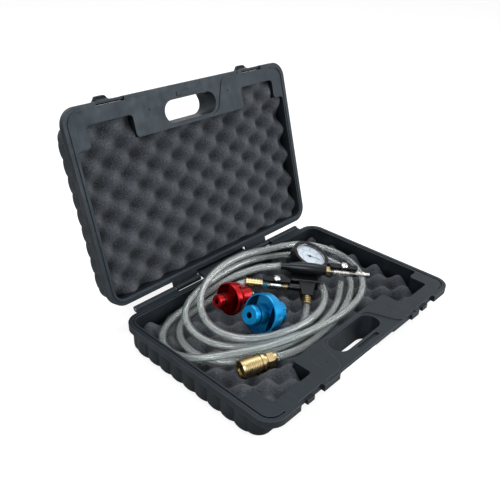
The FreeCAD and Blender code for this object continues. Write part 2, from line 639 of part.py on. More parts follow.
def fill_side():
    """The second valve, on the arm that leaves the neck towards -X."""
    y, z = -s.fill_valve_y, -s.fill_valve_drop
    turned = Placement(Vector(-s.fill_valve_x, y, z), Rotation(Z, 180))
    ball_valve("fill", "fill_inlet_length", "fill_outlet_length", tester.multiply(turned))
    inlet_x = -s.fill_valve_x + s.fill_inlet_length
    end = stack(hexagon("valve_hex_flats + 1", "fill_end_length"))
    keep("fill_valve_end", cut(end, stack(rod("valve_bore_radius", "fill_end_length"))),
         on_tester(inlet_x, y, z, X))
    outlet_x = -s.fill_valve_x - s.fill_outlet_length
    collar = cut(stack(rod("fill_collar_radius", "fill_collar_length")),
                 stack(rod("valve_bore_radius", "fill_collar_length")))
    keep("fill_hose_collar", collar, on_tester(outlet_x, y, z, -X))
    ferrule("fill_hose_ferrule", "fill_ferrule_length", "fill_ferrule_rings",
            on_tester(outlet_x - s.fill_collar_length, y, z, -X))


def hose_ferrule_place():
    end_y = -s.block_front - s.neck_length
    return on_tester(s.stem_line_x, end_y, -s.stem_line_drop, -Y)


# ---------------------------------------------------------------- gauge

gauge = tester.multiply(Placement(Vector(s.gauge_x, s.gauge_y, -s.stem_line_drop), Rotation(Y, s.gauge_tilt)))


def stem_cutter(radius, reach):
    """A cylinder from the gauge's middle out towards the manifold."""
    item = solid("Cylinder", Radius=radius, Height=reach)
    return moved(item, at(along=-Y))


def pressure_gauge():
    front = s.boot_depth - s.boot_back
    opening = "gauge_case_radius - gauge_case_skin"
    boot = stack(rod("boot_radius", "boot_depth"), start="-boot_back")
    inside = stack(rod("gauge_case_radius", "boot_depth - boot_skin - boot_lip"),
                   rod(opening, "boot_lip + 1"), start="boot_skin - boot_back")
    boot = cut(boot, inside, stem_cutter("gauge_stem_radius + play", "boot_radius + 1"))
    keep("gauge_boot", boot, gauge)

    depth = "boot_depth - boot_skin - boot_lip"
    cup = stack(rod("gauge_case_radius", depth), start="boot_skin - boot_back")
    hollow = stack(rod(opening, depth), start="boot_skin + gauge_case_skin - boot_back")
    cup = cut(cup, hollow, stem_cutter("gauge_stem_radius + running_play", "boot_radius"))
    keep("gauge_case", cup, gauge)

    dial = cut(stack(rod(f"{opening} - running_play", "dial_thickness"), start="dial_level"),
               stack(rod("spindle_radius * 2", "dial_thickness + 2"), start="dial_level - 1"))
    keep("gauge_dial", dial, gauge)
    keep("gauge_lens", stack(rod(f"{opening} - running_play", "lens_thickness"),
                             start="boot_depth - boot_back - boot_lip - lens_thickness"), gauge)

    hub_low = "dial_level + dial_thickness + play"
    hub = stack(rod("needle_hub_radius", "needle_hub_height"), start=hub_low)
    spindle = stack(rod("spindle_radius", f"{hub_low} - dial_level + spindle_length"),
                    start="dial_level - spindle_length")
    level = s.dial_level + s.dial_thickness + s.play + s.needle_hub_height / 2
    tip, tail, half = s.needle_length, s.needle_tail, s.needle_width / 2
    flat = [Vector(-tail, -half), Vector(tip, -half / 4), Vector(tip, half / 4), Vector(-tail, half)]
    hand = feature(slab(Part.makePolygon(flat + flat[:1]), level, level + s.needle_thickness))
    keep("gauge_needle", fuse(hub, spindle, hand), gauge)
    assert level + s.needle_hub_height < front, "the needle stands out of the gauge"

    tube = solid("Torus", "-bourdon_section", Radius1="bourdon_radius", Radius2="bourdon_section",
                 Angle3="bourdon_sweep")
    tube = fuse(tube)
    keep("bourdon_tube", tube, gauge.multiply(Placement(Vector(0, 0, -s.bourdon_section), Rotation(Z, -90))))

    floor = s.boot_skin + s.gauge_case_skin - s.boot_back
    top = s.dial_level - s.spindle_length / 3
    frame = box((-s.movement_length / 2, -s.movement_width / 2, floor),
                (s.movement_length / 2, s.movement_width / 2, top))
    hole = Part.makeCylinder(s.spindle_radius + s.running_play, s.boot_depth, Vector(0, 0, floor + s.skin))
    keep("gauge_movement", feature(frame.cut(hole)), gauge)

    reach = s.gauge_y - s.bourdon_radius - s.bourdon_section - s.play
    start = block_back - s.stem_seat
    stem = feature(Part.makeCylinder(s.gauge_stem_radius, reach - start, Vector(0, 0, 0)))
    keep("gauge_stem", stem, on_tester(s.gauge_x, start, -s.stem_line_drop, Y))


# ---------------------------------------------------------------- coupler

coupler = Placement(Vector(s.coupler_x, s.coupler_y, s.coupler_z), Rotation(s.coupler_turn, 90, 0))


def quick_coupler():
    """A brass quick coupler: hose nut, hexagon and barrel, inside a sprung sleeve."""
    shank = "hose_nut_length + coupler_hex_length"
    mouth = f"coupler_length - coupler_recess - ({shank})"
    body = stack(hexagon("coupler_hex_flats", "coupler_hex_length"), rod("coupler_barrel_radius", mouth),
                 start="hose_nut_length")
    port = stack(rod("coupler_port_radius", "coupler_hex_length + 5"), start="hose_nut_length")
    front = "coupler_length - coupler_recess"
    chamber = stack(rod("poppet_radius + running_play", f"{front} - socket_depth - ({shank}) - 3"),
                    rod("coupler_bore_radius", "socket_depth + 1"), start=f"{shank} + 3")
    groove = stack(rod("coupler_bore_radius + 2 * seal_width", "2 * seal_width"),
                   start=f"{front} - socket_depth + seal_width")
    keep("coupler_body", cut(body, port, chamber, groove, feature(ball_holes())), coupler)
    nut = cut(stack(rod("hose_nut_radius", "hose_nut_length")),
              stack(rod("coupler_port_radius", "hose_nut_length")))
    keep("coupler_hose_nut", nut, coupler)

    start = f"{shank} + coupler_gap"
    length = f"coupler_length - ({start})"
    knurl = []
    for _ in range(int(round(s.knurl_rings))):
        knurl.append(rod("coupler_sleeve_radius", f"({length}) * 0.7 / knurl_rings * 0.62"))
        knurl.append(rod("coupler_sleeve_radius - knurl_depth", f"({length}) * 0.7 / knurl_rings * 0.38"))
    sleeve = stack(rod("coupler_sleeve_radius", f"({length}) * 0.12"),
                   rod("coupler_sleeve_radius - 1.2", f"({length}) * 0.1"), *knurl,
                   taper("coupler_sleeve_radius", "coupler_sleeve_radius - 1", f"({length}) * 0.08"), start=start)
    inside = stack(rod("coupler_barrel_radius + running_play", "coupler_length"), start=start)
    spring_room = stack(rod("coupler_sleeve_step", f"({length}) * 0.5"), start=f"{start} + ({length}) * 0.15")
    keep("coupler_sleeve", cut(sleeve, inside, spring_room), coupler)

    wire, turns = s.coupler_spring_wire, int(round(s.coupler_spring_turns))
    middle = (s.coupler_barrel_radius + s.coupler_sleeve_step) / 2
    first = s.hose_nut_length + s.coupler_hex_length + s.coupler_gap + s.coupler_spring_setback
    coils = [feature(Part.makeTorus(middle, wire, Vector(0, 0, first + i * s.coupler_spring_pitch)))
             for i in range(turns)]
    keep("coupler_spring", group(*coils), coupler)

    balls = [moved(solid("Sphere", Radius="coupler_ball_radius"), at(*spot)) for spot, _ in ball_spots()]
    keep("coupler_balls", group(*balls), coupler)
    poppet = stack(rod("poppet_radius * 0.5", "poppet_length * 0.6"), rod("poppet_radius", "poppet_length * 0.4"),
                   start=f"{front} - socket_depth - poppet_length")
    keep("coupler_poppet", poppet, coupler)
    ring = fuse(solid("Torus", Radius1="coupler_bore_radius + seal_width", Radius2="seal_width - running_play"))
    level = s.coupler_length - s.coupler_recess - s.socket_depth + 2 * s.seal_width
    keep("coupler_seal", ring, coupler.multiply(at(z=level)))


def ball_spots():
    """The middle of each locking ball, round the socket near its mouth, and its way out."""
    count = int(round(s.coupler_ball_count))
    out = (s.coupler_barrel_radius + s.coupler_bore_radius) / 2
    along = s.coupler_length - s.coupler_recess - s.coupler_ball_setback
    turns = [2 * math.pi * i / count for i in range(count)]
    ways = [Vector(math.cos(turn), math.sin(turn), 0) for turn in turns]
    return [((out * way.x, out * way.y, along), way) for way in ways]


def ball_holes():
    """A hole through the socket's wall for each locking ball."""
    radius = s.coupler_ball_radius + s.running_play
    holes = []
    for spot, way in ball_spots():
        inner = Vector(*spot) - way * s.coupler_bore_radius * 0.5
        holes.append(Part.makeCylinder(radius, s.coupler_bore_radius, inner, way))
    return Part.makeCompound(holes)


# ---------------------------------------------------------------- adapters

def adapter_place(colour):
    """The adapter's own +Z runs out of its cup, along the stem."""
    x, y, z, tilt, turn = (sheet.get(f"{colour}_{word}") for word in ("x", "y", "z", "tilt", "turn"))
    return Placement(Vector(x, y, z), Rotation(turn, 90 - tilt, 0))


def adapter(colour):
    """A machined cup that screws on a filler neck, with a sealed stem and a hose nipple."""
    def word(name):
        return f"{colour}_{name}"

    def of(name):
        return sheet.get(word(name))

    place = adapter_place(colour)
    depth = f"({word('cup_depth')} + {word('cone_length')} + {word('grip_length')})"
    outside = stack(rod(f"{word('grip_radius')} - edge_cut", "edge_cut"),
                    rod(word("grip_radius"), f"{word('grip_length')} - edge_cut"),
                    taper(word("grip_radius"), word("cup_radius"), word("cone_length")),
                    rod(word("cup_radius"), f"{word('cup_depth')} - edge_cut"),
                    taper(word("cup_radius"), f"{word('cup_radius')} - lip_cut", "edge_cut"), start=f"-{depth}")
    cup = stack(taper(f"{word('cup_radius')} - 2 * {word('cup_skin')} - cup_foot_step",
                      f"{word('cup_radius')} - {word('cup_skin')}", f"{word('cup_floor')} * 0.45"),
                rod(f"{word('cup_radius')} - {word('cup_skin')}", f"{word('cup_floor')} * 0.55 + 1"),
                start=f"-{word('cup_floor')}")
    stem = stack(rod(word("stem_radius"), f"{word('cup_floor')} + {word('stem_reach')} - stem_cut"),
                 taper(word("stem_radius"), f"{word('stem_radius')} - stem_cut", "stem_cut"),
                 start=f"-{word('cup_floor')}")
    web_length = of("cup_radius") - of("cup_skin") / 2
    web_half = of("web_width") / 2
    web = feature(box((-web_length, -web_half, -of("cup_floor")), (web_length, web_half, -of("web_setback")))
                  .common(Part.makeCylinder(web_length, 2 * of("cup_floor"), Vector(0, 0, -of("cup_floor")))))
    bore = stack(rod(word("bore_radius"), f"{word('stem_reach')} + {word('cup_floor')} + 2"),
                 start=f"-{word('cup_floor')}")
    seat = stack(rod("nipple_radius + running_play", "nipple_thread_length"), start=f"-{depth}")
    way = stack(rod("nipple_bore_radius", f"{depth}"), start=f"-{depth}")
    groove = moved(fuse(solid("Torus", Radius1=word("stem_radius"), Radius2="seal_radius")),
                   at(z=of("stem_reach") - s.seal_setback))
    body = cut(fuse(cut(outside, cup), stem, web), bore, seat, way, groove, grip_notches(colour))
    keep(f"{colour}_adapter_body", body, place)

    seal = stack(rod(f"{word('stem_radius')} + seal_radius * 0.4", "seal_radius * 1.2"))
    inner = stack(rod(f"{word('stem_radius')} + running_play", "seal_radius * 1.2"))
    seal_z = of("stem_reach") - s.seal_setback - s.seal_radius * 0.6
    keep(f"{colour}_adapter_seal", cut(seal, inner), place.multiply(at(z=seal_z)))

    tip = f"({word('nipple_length')})"
    nipple = stack(rod("nipple_radius", f"{tip} * 0.3"), rod("nipple_neck_radius", f"{tip} * 0.25"),
                   rod("nipple_radius + nipple_bead", f"{tip} * 0.45"), rod("nipple_radius", "nipple_thread_length"),
                   start=f"-{depth} - {tip}")
    hole = stack(rod("nipple_bore_radius", f"{tip} + nipple_thread_length + 2"), start=f"-{depth} - {tip} - 1")
    keep(f"{colour}_adapter_nipple", cut(nipple, hole), place)


def grip_notches(colour):
    """Flutes round the back of the body, for the fingers."""
    count = int(round(sheet.get(f"{colour}_notch_count")))
    radius = sheet.get(f"{colour}_grip_radius")
    length = sheet.get(f"{colour}_grip_length") * 0.8
    back = -sum(sheet.get(f"{colour}_{part}") for part in ("cup_depth", "cone_length", "grip_length"))
    notches = []
    for i in range(count):
        notch = box((radius - s.notch_depth, -s.notch_width / 2, back - 1),
                    (radius + 2, s.notch_width / 2, back + length))
        notch.rotate(Vector(), Z, 360 / count * i)
        notches.append(notch)
    return feature(Part.makeCompound(notches))


# ---------------------------------------------------------------- hoses

# Each hose lies loose in the case, so its route is a chosen list of points.
COUPLER_HOSE = [
    (5.5, -14, 19), (-17, -22.5, 16.8), (-46, -22, 16.3), (-75, -12, 16.3), (-101, 4, 17),
    (-120, 24, 19), (-129, 51, 22), (-125, 79, 27), (-107, 100, 33), (-78, 109, 39),
    (-45, 110.8, 44), (-9, 110.8, 46.5), (29, 110, 43), (64, 108, 35), (98, 102, 27),
    (126, 86, 23), (142, 58, 21.5), (142, 26, 20.5), (124, -3, 20), (93, -25, 17.5),
    (55, -39, 16), (14, -47.5, 16), (-28, -51, 16), (-62, -50.5, 18.5)]
FILL_HOSE = [
    (-23, 98.2, 27.4), (-51, 102.8, 19.4), (-82, 102.5, 15.8), (-111, 99, 15.6), (-134, 83, 15.6),
    (-147, 59, 15.6), (-149, 31, 15.6), (-139, 5, 15.6), (-119, -13, 15.6), (-92, -25, 15.6),
    (-61, -31.5, 15.6), (-27, -36, 15.6), (12, -36, 15.8), (49, -29, 16.5), (80, -15, 19),
    (103, 1, 22)]
DRAIN_HOSE = [
    (26, 82, 46), (3, 96, 41), (-23, 106, 35.5), (-53, 110.8, 27.5), (-85, 110.8, 21),
    (-117, 109.5, 18.5), (-146, 99, 17), (-166, 77, 17), (-171, 50, 19.5), (-161, 24, 22.5),
    (-141, 4, 26.5), (-114, -12, 27), (-86, -26, 27), (-57, -35.5, 27), (-26, -44, 27),
    (8, -49, 27), (42, -51, 26.5), (76, -47, 26), (108, -35, 25), (137, -13, 24),
    (158, 15, 23), (167, 48, 23.5), (160, 80, 26), (137, 103, 31), (106, 111, 37),
    (73, 109, 45), (41, 110, 53), (7, 110.8, 59), (-26, 110, 59.5), (-54, 107, 55),
    (-79, 97, 48), (-98, 81, 41), (-110, 61, 36), (-114, 37, 33), (-107, 13, 31),
    (-89, -6, 29), (-63, -19, 28), (-30, -28, 27.5), (4, -29, 27), (36, -19, 25.5),
    (60, -4, 25), (70, 9, 25.2)]
BEND_SHARE = 0.45


def hose_path(points):
    """Straight runs joined by tangent arcs, each as large as its two runs allow."""
    edges, radii = [], []
    start = points[0]
    for before, corner, after in zip(points, points[1:], points[2:]):
        to_start, to_end = before - corner, after - corner
        reach = BEND_SHARE * min(to_start.Length, to_end.Length)
        first = corner + to_start.normalize() * reach
        last = corner + to_end.normalize() * reach
        half_turn = (math.pi - to_start.getAngle(to_end)) / 2
        radius = reach / math.tan(half_turn)
        inward = (to_start + to_end).normalize()
        middle = corner + inward * (radius / math.cos(half_turn) - radius)
        edges.append(Part.LineSegment(start, first).toShape())
        edges.append(Part.Arc(first, middle, last).toShape())
        radii.append(radius)
        start = last
    edges.append(Part.LineSegment(start, points[-1]).toShape())
    return Part.Wire(edges), radii


def hose(name, points):
    path, radii = hose_path(points)
    start, along = points[0], points[1] - points[0]
    skin, bore = (path.makePipe(Part.Face(Part.Wire(Part.makeCircle(radius, start, along))))
                  for radius in (s.hose_radius, s.hose_bore_radius))
    tube = skin.cut(bore)
    section = math.pi * (s.hose_radius ** 2 - s.hose_bore_radius ** 2)
    share = abs(tube.Volume) / (section * path.Length)
    print(f"{name}: length {path.Length:.0f}, smallest bend radius {min(radii):.1f}, "
          f"volume over section times length {share:.4f}")
    print("   radii", " ".join(f"{r:.0f}" for r in radii))
    assert abs(share - 1) < 0.01, f"{name} is not a clean tube"
    keep(name, feature(tube))


def hoses():
    way = [Vector(*point) for point in COUPLER_HOSE]
    foot = hose_ferrule_place().multVec(Vector(0, 0, s.ferrule_length))
    hose("connection_hose", [foot] + way + [coupler.Base])
    way = [Vector(*point) for point in FILL_HOSE]
    end_x = -s.fill_valve_x - s.fill_outlet_length - s.fill_collar_length - s.fill_ferrule_length
    foot = tester.multVec(Vector(end_x, -s.fill_valve_y, -s.fill_valve_drop))
    hose("fill_hose", [foot] + way)
    way = [Vector(*point) for point in DRAIN_HOSE]
    foot = tester.multVec(Vector(-s.barrel_left - s.sleeve_length, 0, 0))
    hose("drain_hose", [foot] + way)


# ---------------------------------------------------------------- build, check and export

case_base()
case_lid()
hinge_pins()
latches()
foams()
barrel()
air_hex_adapter()
manifold()
air_side()
fill_side()
ferrule("connection_hose_ferrule", "ferrule_length", "ferrule_rings", hose_ferrule_place())
pressure_gauge()
quick_coupler()
adapter("blue")
adapter("red")
hoses()
doc.recompute()

for item in doc.Objects:
    if any(word in ("Invalid", "Error") for word in item.State):
        raise RuntimeError(f"{item.Name} ({item.Label}) failed: {item.State}")
for name, item in pieces.items():
    if item.Shape.isNull() or not item.Shape.isValid() or item.Shape.Volume <= 0:
        raise RuntimeError(f"{name} has no valid shape")

os.makedirs("parts", exist_ok=True)
for name, item in pieces.items():
    item.Shape.exportStep(f"parts/{name}.step")
print(len(pieces), "pieces written")
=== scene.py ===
"""Looks of the radiator pressure tester kit: case plastic, egg-crate foam, clear hoses, machined
brass and nickel, anodised filler neck adapters and a printed gauge dial.

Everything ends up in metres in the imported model's own frame: +X along the hinge, +Y towards the
hinge, +Z up. Named lengths are millimetres unless they are written with * MM.
"""
import json
import math

import bmesh
import bpy
from mathutils import Matrix, Vector, noise
from mathutils.bvhtree import BVHTree


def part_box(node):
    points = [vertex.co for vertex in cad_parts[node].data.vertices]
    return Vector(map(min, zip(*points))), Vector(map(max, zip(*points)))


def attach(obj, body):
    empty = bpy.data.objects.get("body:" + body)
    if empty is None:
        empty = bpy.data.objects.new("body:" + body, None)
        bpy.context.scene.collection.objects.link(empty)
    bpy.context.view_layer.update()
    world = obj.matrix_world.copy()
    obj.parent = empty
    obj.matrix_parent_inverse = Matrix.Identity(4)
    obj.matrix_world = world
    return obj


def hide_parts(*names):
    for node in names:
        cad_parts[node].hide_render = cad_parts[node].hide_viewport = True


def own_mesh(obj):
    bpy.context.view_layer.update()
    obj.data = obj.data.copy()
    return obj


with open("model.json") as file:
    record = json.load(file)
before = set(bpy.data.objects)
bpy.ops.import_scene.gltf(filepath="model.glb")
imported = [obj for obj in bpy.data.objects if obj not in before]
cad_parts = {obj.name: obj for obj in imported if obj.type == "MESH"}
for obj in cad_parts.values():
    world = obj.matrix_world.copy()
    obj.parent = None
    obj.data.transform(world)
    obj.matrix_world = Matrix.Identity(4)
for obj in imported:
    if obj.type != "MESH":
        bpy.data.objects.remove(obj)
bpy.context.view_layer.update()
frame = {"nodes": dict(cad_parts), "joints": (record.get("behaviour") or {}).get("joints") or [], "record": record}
scene = bpy.context.scene
nodes = frame["nodes"]
MM = 0.001
IN_METRES = Matrix.Diagonal((MM, MM, MM, 1))


# ---------------------------------------------------------------- camera, floor and light

CAMERA_PLACE = Vector((-519.1, -391.4, 489.8)) * MM
CAMERA_AZIMUTH, CAMERA_ELEVATION, CAMERA_ROLL = -47.39, 30.064, 1.754
LENS, SENSOR = 42.76, 36.0
SKY_ON_OBJECTS, SKY_SEEN = 0.42, 1.0
FLOOR_RADIUS, FLOOR_SHADE, FLOOR_GLOW = 6.0, 0.5, 0.72    # metres, albedo, emission


def aim_camera():
    """The camera at its place, turned by azimuth, elevation and roll."""
    azimuth, elevation, roll = (math.radians(a) for a in (CAMERA_AZIMUTH, CAMERA_ELEVATION, CAMERA_ROLL))
    back = Vector((math.sin(azimuth) * math.cos(elevation), -math.cos(azimuth) * math.cos(elevation),
                   math.sin(elevation)))
    right = Vector((0, 0, 1)).cross(back).normalized()
    up = back.cross(right)
    side = right * math.cos(roll) + up * math.sin(roll)
    top = up * math.cos(roll) - right * math.sin(roll)
    data = bpy.data.cameras.new("camera")
    data.lens, data.sensor_width = LENS, SENSOR
    data.clip_start, data.clip_end = 0.01, 60
    camera = bpy.data.objects.new("camera", data)
    camera.matrix_world = Matrix.Translation(CAMERA_PLACE) @ Matrix((side, top, back)).transposed().to_4x4()
    scene.collection.objects.link(camera)
    scene.camera = camera


def softbox(name, place, width, height, power, target=(0.0, 0.05, 0.05)):
    """A rectangular lamp, in metres and watts, aimed at the middle of the case."""
    data = bpy.data.lights.new(name, "AREA")
    data.shape, data.size, data.size_y, data.energy = "RECTANGLE", width, height, power
    lamp = bpy.data.objects.new(name, data)
    lamp.location = place
    lamp.rotation_mode = "QUATERNION"
    lamp.rotation_quaternion = (Vector(target) - Vector(place)).to_track_quat("-Z", "Y")
    scene.collection.objects.link(lamp)


def seen_by(tree, *rays):
    """1 where a ray of one of these kinds looks straight at it."""
    path = tree.nodes.new("ShaderNodeLightPath")
    total = None
    for ray in rays:
        if total is None:
            total = path.outputs[ray]
            continue
        join = tree.nodes.new("ShaderNodeMath")
        join.operation = "MAXIMUM"
        tree.links.new(total, join.inputs[0])
        tree.links.new(path.outputs[ray], join.inputs[1])
        total = join.outputs[0]
    return total


def studio():
    """White sky, pale floor and three softboxes."""
    world = bpy.data.worlds.new("studio")
    scene.world = world
    world.use_nodes = True
    tree = world.node_tree
    sky = tree.nodes["Background"]
    sky.inputs["Color"].default_value = (1, 1, 1, 1)
    level = tree.nodes.new("ShaderNodeMapRange")
    level.inputs["To Min"].default_value = SKY_ON_OBJECTS
    level.inputs["To Max"].default_value = SKY_SEEN
    seen = seen_by(tree, "Is Camera Ray", "Is Glossy Ray", "Is Transmission Ray")
    tree.links.new(seen, level.inputs["Value"])
    tree.links.new(level.outputs[0], sky.inputs["Strength"])

    mesh = bmesh.new()
    bmesh.ops.create_circle(mesh, cap_ends=True, radius=FLOOR_RADIUS, segments=64)
    floor = linked("floor", mesh)
    low = min(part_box(node)[0][2] for node in nodes)
    floor.data.transform(Matrix.Translation((0, 0, min(0.0, low))))
    pale = bpy.data.materials.new("pale_floor")
    pale.use_nodes = True
    tree = pale.node_tree
    paint = tree.nodes["Principled BSDF"]
    paint.inputs["Base Color"].default_value = (FLOOR_SHADE, FLOOR_SHADE, FLOOR_SHADE, 1)
    paint.inputs["Roughness"].default_value = 0.9
    paint.inputs["Specular IOR Level"].default_value = 0.1
    paint.inputs["Emission Color"].default_value = (1, 1, 1, 1)
    glow = tree.nodes.new("ShaderNodeMath")
    glow.operation = "MULTIPLY"
    glow.inputs[1].default_value = FLOOR_GLOW
    tree.links.new(seen_by(tree, "Is Camera Ray", "Is Transmission Ray"), glow.inputs[0])
    tree.links.new(glow.outputs[0], paint.inputs["Emission Strength"])
    floor.data.materials.append(pale)

    softbox("overhead", place=(0.2, 0.3, 1.9), width=1.6, height=1.2, power=20)
    softbox("key", place=(-1.3, -0.9, 1.3), width=0.9, height=0.9, power=14)
    softbox("front", place=(1.0, -1.6, 0.6), width=1.3, height=0.9, power=26)


def linked(name, mesh, *finishes):
    """The finished bmesh as an object at the origin."""
    data = bpy.data.meshes.new(name)
    mesh.to_mesh(data)
    mesh.free()
    for finish in finishes:
        data.materials.append(finish)
    item = bpy.data.objects.new(name, data)
    scene.collection.objects.link(item)
    return item


def smooth(item, angle):
    """Shades the object smooth, with edges sharper than the angle kept."""
    for face in item.data.polygons:
        face.use_smooth = True
    item.data.set_sharp_from_angle(angle=math.radians(angle))
    return item


def turn_outwards(mesh, outward):
    """Makes an open sheet's faces look along outward."""
    bmesh.ops.recalc_face_normals(mesh, faces=mesh.faces[:])
    if sum(face.normal.dot(outward) for face in mesh.faces) < 0:
        bmesh.ops.reverse_faces(mesh, faces=mesh.faces[:])


def clamped(value):
    return min(1.0, max(0.0, value))


def joint_named(name):
    return next(row for row in frame["joints"] if row["name"] == name)


scene.view_settings.view_transform = "Standard"
aim_camera()
studio()


# ---------------------------------------------------------------- finishes

class Finish:
    """A procedural surface on object coordinates."""

    def __init__(self, name, colour, roughness, **sockets):
        self.material = bpy.data.materials.new(name)
        self.material.use_nodes = True
        self.tree = self.material.node_tree
        self.shader = self.tree.nodes["Principled BSDF"]
        self.set("Base Color", (*colour, 1))
        self.set("Roughness", roughness)
        for socket, value in sockets.items():
            self.set(socket, value)
        self.place = self.tree.nodes.new("ShaderNodeTexCoord").outputs["Object"]

    def set(self, socket, value):
        self.shader.inputs[socket].default_value = value

    def feed(self, output, socket):
        self.tree.links.new(output, self.shader.inputs[socket])

    def cloud(self, size_mm, detail=2.0, stretch=None):
        """Soft noise whose lumps are about size_mm across."""
        source = self.place
        if stretch:
            turn = self.tree.nodes.new("ShaderNodeMapping")
            turn.inputs["Scale"].default_value = stretch
            self.tree.links.new(source, turn.inputs["Vector"])
            source = turn.outputs[0]
        cloud = self.tree.nodes.new("ShaderNodeTexNoise")
        cloud.inputs["Scale"].default_value = 1000 / size_mm
        cloud.inputs["Detail"].default_value = detail
        self.tree.links.new(source, cloud.inputs["Vector"])
        return cloud.outputs["Fac"]

    def level(self, output, low, high, start=0.3, end=0.7):
        """From low, where the output is start or less, to high, where it is end or more."""
        step = self.tree.nodes.new("ShaderNodeMapRange")
        for socket, value in (("From Min", start), ("From Max", end), ("To Min", low), ("To Max", high)):
            step.inputs[socket].default_value = value
        self.tree.links.new(output, step.inputs["Value"])
        return step.outputs[0]

    def blend(self, amount, first, second):
        """A colour between first and second; either may be a colour or another blend."""
        mix = self.tree.nodes.new("ShaderNodeMix")
        mix.data_type = "RGBA"
        self.tree.links.new(amount, mix.inputs["Factor"])
        for socket, value in ((mix.inputs[6], first), (mix.inputs[7], second)):
            if isinstance(value, tuple):
                socket.default_value = (*value, 1)
            else:
                self.tree.links.new(value, socket)
        return mix.outputs[2]

    def relief(self, output, depth_mm, strength=1.0, under=None):
        """Bumps of that depth, over the normal under them."""
        bump = self.tree.nodes.new("ShaderNodeBump")
        bump.inputs["Strength"].default_value = strength
        bump.inputs["Distance"].default_value = depth_mm * MM
        self.tree.links.new(output, bump.inputs["Height"])
        if under is not None:
            self.tree.links.new(under, bump.inputs["Normal"])
        self.feed(bump.outputs[0], "Normal")

    def hollows(self, reach_mm):
        """An ambient-occlusion mask for painted shade: from 0 deep in a corner to 1 on an open face."""
        shade = self.tree.nodes.new("ShaderNodeAmbientOcclusion")
        shade.samples = 4
        shade.inputs["Distance"].default_value = reach_mm * MM
        return self.level(shade.outputs["AO"], 0, 1, start=0.35, end=0.85)

    def soft_edges(self, radius_mm):
        """The normal with every edge rounded, and a mask of the edges."""
        bevel = self.tree.nodes.new("ShaderNodeBevel")
        bevel.samples = 4
        bevel.inputs["Radius"].default_value = radius_mm * MM
        true = self.tree.nodes.new("ShaderNodeNewGeometry").outputs["Normal"]
        dot = self.tree.nodes.new("ShaderNodeVectorMath")
        dot.operation = "DOT_PRODUCT"
        self.tree.links.new(bevel.outputs[0], dot.inputs[0])
        self.tree.links.new(true, dot.inputs[1])
        return bevel.outputs[0], self.level(dot.outputs["Value"], 1.0, 0.0, start=0.75, end=0.995)


def scaled(colour, factor):
    """The colour made darker or paler."""
    return tuple(min(1.0, c * factor) for c in colour)


def moulded(name, colour, roughness, grain_mm=0.5, grain_depth=0.05, edge_mm=0.6, edge_highlight=1.8,
            scratches=0.0, crease_shade=1.0, crease_shade_mm=16.0, **sockets):
    """Moulded plastic or rubber: fine grain, faint clouds and scratches, paler edges painted as highlights,
    painted shade in creases.
    """
    f = Finish(name, colour, roughness, **sockets)
    rounded, edge = f.soft_edges(edge_mm)
    clouds = f.level(f.cloud(size_mm=38, detail=3), 0, 1)
    skin = f.blend(clouds, scaled(colour, 0.86), scaled(colour, 1.14))
    specks = f.level(f.cloud(size_mm=1.1), 0, 1, start=0.35, end=0.75)
    skin = f.blend(specks, skin, scaled(colour, 1.3))
    if scratches:
        lines = f.level(f.cloud(size_mm=1.4, stretch=(1.0, 0.035, 0.035)), 0, scratches, start=0.56, end=0.70)
        skin = f.blend(lines, skin, scaled(colour, 2.6))
    # painted highlight: every edge is made paler
    edge_highlight_mask = f.level(edge, 0, 0.75, start=0, end=1)
    skin = f.blend(edge_highlight_mask, skin, scaled(colour, edge_highlight))
    # painted shade: darker where ambient occlusion finds a crease, a corner or the foam close by
    if crease_shade < 1:
        skin = f.blend(f.hollows(crease_shade_mm), scaled(colour, crease_shade), skin)
    f.feed(skin, "Base Color")
    shine = f.level(f.cloud(size_mm=14, detail=3), roughness - 0.06, roughness + 0.08)
    f.feed(shine, "Roughness")
    f.relief(f.cloud(grain_mm, detail=3), grain_depth, strength=0.5, under=rounded)
    return f.material


def machined(name, colour, roughness):
    """Turned metal: fine tool marks, a few dull spots, painted highlights on the edges, painted shade in the
    grooves.
    """
    f = Finish(name, colour, roughness, Metallic=1.0)
    rounded, edge = f.soft_edges(radius_mm=0.25)
    tarnish = f.level(f.cloud(size_mm=9, detail=3), 0, 1)
    skin = f.blend(tarnish, scaled(colour, 0.88), scaled(colour, 1.05))
    # painted highlight: paler along every edge
    skin = f.blend(edge, skin, scaled(colour, 1.25))
    # painted shade: much darker in grooves and corners
    f.feed(f.blend(f.hollows(reach_mm=5.0), scaled(colour, 0.25), skin), "Base Color")
    f.feed(f.level(f.cloud(size_mm=5), roughness - 0.04, roughness + 0.06), "Roughness")
    f.relief(f.cloud(size_mm=0.35), depth_mm=0.004, strength=0.2, under=rounded)
    return f.material


def anodised(name, colour, roughness, edge_highlight_colour):
    """Dyed aluminium: saturated, half gloss, with fine turning marks, painted highlights on the edges and painted
    shade in the recesses.
    """
    f = Finish(name, colour, roughness, Metallic=0.8,
               **{"Coat Weight": 0.1, "Coat Roughness": 0.12, "Specular IOR Level": 0.25})
    rounded, edge = f.soft_edges(radius_mm=0.5)
    uneven = f.level(f.cloud(size_mm=12, detail=3), 0, 1)
    skin = f.blend(uneven, scaled(colour, 0.9), scaled(colour, 1.1))
    # painted highlight: the paler edge colour along every edge
    skin = f.blend(f.level(edge, 0, 0.7, start=0, end=1), skin, edge_highlight_colour)
    # painted shade: much darker in the recesses
    f.feed(f.blend(f.hollows(reach_mm=14.0), scaled(colour, 0.22), skin), "Base Color")
    f.feed(f.level(f.cloud(size_mm=4, detail=3), roughness - 0.05, roughness + 0.08), "Roughness")
    f.relief(f.cloud(size_mm=0.4), depth_mm=0.006, strength=0.25, under=rounded)
    return f.material


